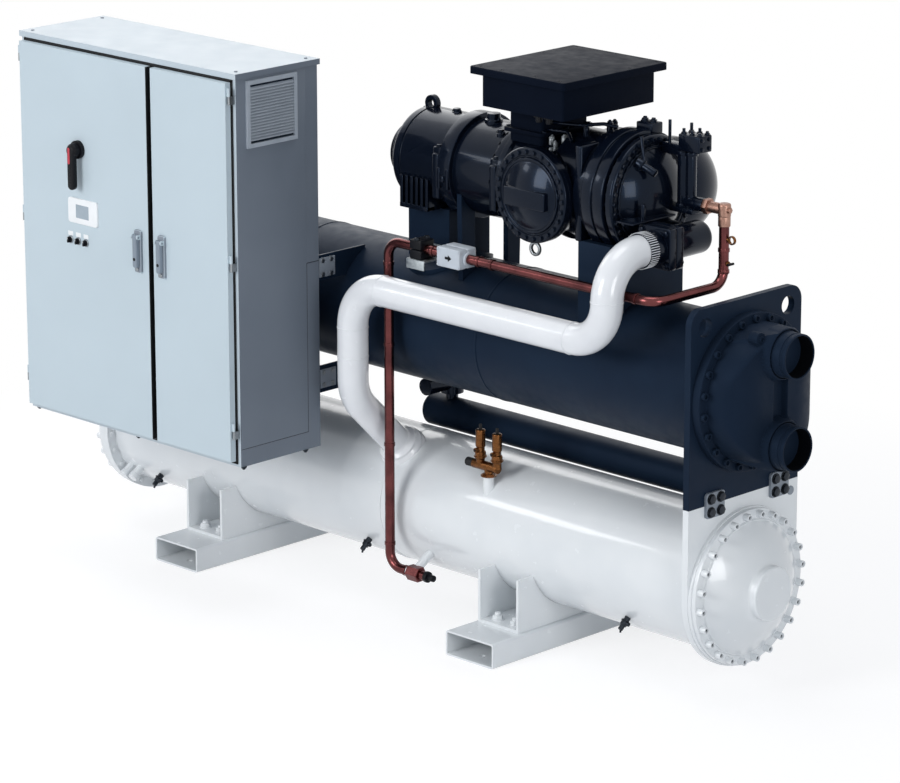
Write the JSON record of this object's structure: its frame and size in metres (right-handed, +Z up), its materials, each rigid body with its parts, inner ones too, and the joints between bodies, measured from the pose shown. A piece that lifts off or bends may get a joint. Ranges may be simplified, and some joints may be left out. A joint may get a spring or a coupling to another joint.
{
  "type": "water-cooled screw chiller",
  "caption": "Water-cooled screw chiller: evaporator below, condenser above, screw compressor on top and a control cabinet with two hinged doors on the front.",
  "frame": {"origin": "on the floor, below the middle of the overall length and depth", "axes": "+X along the vessels towards the condenser water nozzles, -Y the side of the cabinet doors, +Z up"},
  "size_m": [3.685, 1.352, 2.236],
  "materials": {
    "white_paint": "gloss",
    "navy_paint": "satin",
    "black_gloss_paint": "gloss",
    "door_paint": "satin",
    "cabinet_paint": "satin",
    "grey_plate": "satin",
    "galvanised_steel": "zinc",
    "hinge_steel": "satin",
    "black_plastic": "satin",
    "white_plastic": "satin",
    "grey_plastic": "satin",
    "grille_plastic": "satin",
    "white_jacket": "gloss",
    "copper": "drawn",
    "bronze": "cast"
  },
  "bodies": {
    "unit": {"actuator_box": "grey_plastic", "angle_fitting": "bronze", "cabinet_body": "cabinet_paint", "cabinet_brackets_left": "navy_paint", "cabinet_brackets_right": "navy_paint", "compressor_housing": "black_gloss_paint", "condenser_plate_left": "navy_paint", "condenser_plate_right": "navy_paint", "condenser_return_head": "navy_paint", "condenser_shell": "navy_paint", "condenser_water_box": "navy_paint", "copper_line": "copper", "copper_stub": "white_paint", "drain_valves": "hinge_steel", "drum_cover": "black_gloss_paint", "drum_pedestal": "navy_paint", "evaporator_head": "white_paint", "evaporator_plate_left": "white_paint", "evaporator_plate_right": "white_paint", "evaporator_shell": "white_paint", "evaporator_water_box": "white_paint", "expansion_valve": "black_gloss_paint", "foot_beam_left": "white_paint", "foot_beam_right": "white_paint", "gate_cover_back": "black_gloss_paint", "gate_cover_front": "black_gloss_paint", "hinges_left": "hinge_steel", "hinges_right": "hinge_steel", "joint_plates_left": "grey_plate", "joint_plates_right": "grey_plate", "liquid_vessel": "navy_paint", "manifold": "black_gloss_paint", "middle_web": "navy_paint", "motor_column": "navy_paint", "motor_cover": "black_gloss_paint", "mounting_plate": "galvanised_steel", "pipe_clamp": "galvanised_steel", "relief_stub": "white_paint", "relief_valve": "bronze", "saddle_left": "white_paint", "saddle_right": "white_paint", "separator_dome": "black_gloss_paint", "suction_pipe": "white_jacket", "suction_valve": "black_gloss_paint", "terminal_box": "black_gloss_paint", "terminal_lid": "black_gloss_paint", "vent_grille": "grille_plastic"},
    "left_door": {"left_door": "door_paint", "display_panel": "white_plastic"},
    "right_door": {"right_door": "door_paint"},
    "isolator": {"isolator_handle": "black_plastic"},
    "selector_1": {"selector_knob_1": "black_plastic"},
    "selector_2": {"selector_knob_2": "black_plastic"},
    "selector_3": {"selector_knob_3": "black_plastic"},
    "left_handle": {"swing_handle_left": "black_plastic"},
    "right_handle": {"swing_handle_right": "black_plastic"}
  },
  "joints": [
    {"name": "left_door_hinge", "type": "hinge", "parent": "unit", "child": "left_door", "pos_m": [-1.4905, -0.619, 1.402], "axis": [0, 0, -1], "range_deg": [0, 115]},
    {"name": "right_door_hinge", "type": "hinge", "parent": "unit", "child": "right_door", "pos_m": [-0.2725, -0.619, 1.402], "axis": [0, 0, 1], "range_deg": [0, 115]},
    {"name": "isolator_turn", "type": "hinge", "parent": "left_door", "child": "isolator", "pos_m": [-1.13548, -0.628, 1.758], "axis": [0, -1, 0], "range_deg": [0, 90]},
    {"name": "left_handle_lift", "type": "hinge", "parent": "left_door", "child": "left_handle", "pos_m": [-0.7885, -0.6473, 1.469], "axis": [-1, 0, 0], "range_deg": [0, 40]},
    {"name": "right_handle_lift", "type": "hinge", "parent": "right_door", "child": "right_handle", "pos_m": [-0.6525, -0.6473, 1.469], "axis": [-1, 0, 0], "range_deg": [0, 40]},
    {"name": "selector_turn_1", "type": "hinge", "parent": "left_door", "child": "selector_1", "pos_m": [-1.19553, -0.628, 1.388], "axis": [0, -1, 0], "range_deg": [-45, 45]},
    {"name": "selector_turn_2", "type": "hinge", "parent": "left_door", "child": "selector_2", "pos_m": [-1.1495, -0.628, 1.388], "axis": [0, -1, 0], "range_deg": [-45, 45]},
    {"name": "selector_turn_3", "type": "hinge", "parent": "left_door", "child": "selector_3", "pos_m": [-1.10347, -0.628, 1.388], "axis": [0, -1, 0], "range_deg": [-45, 45]}
  ]
}
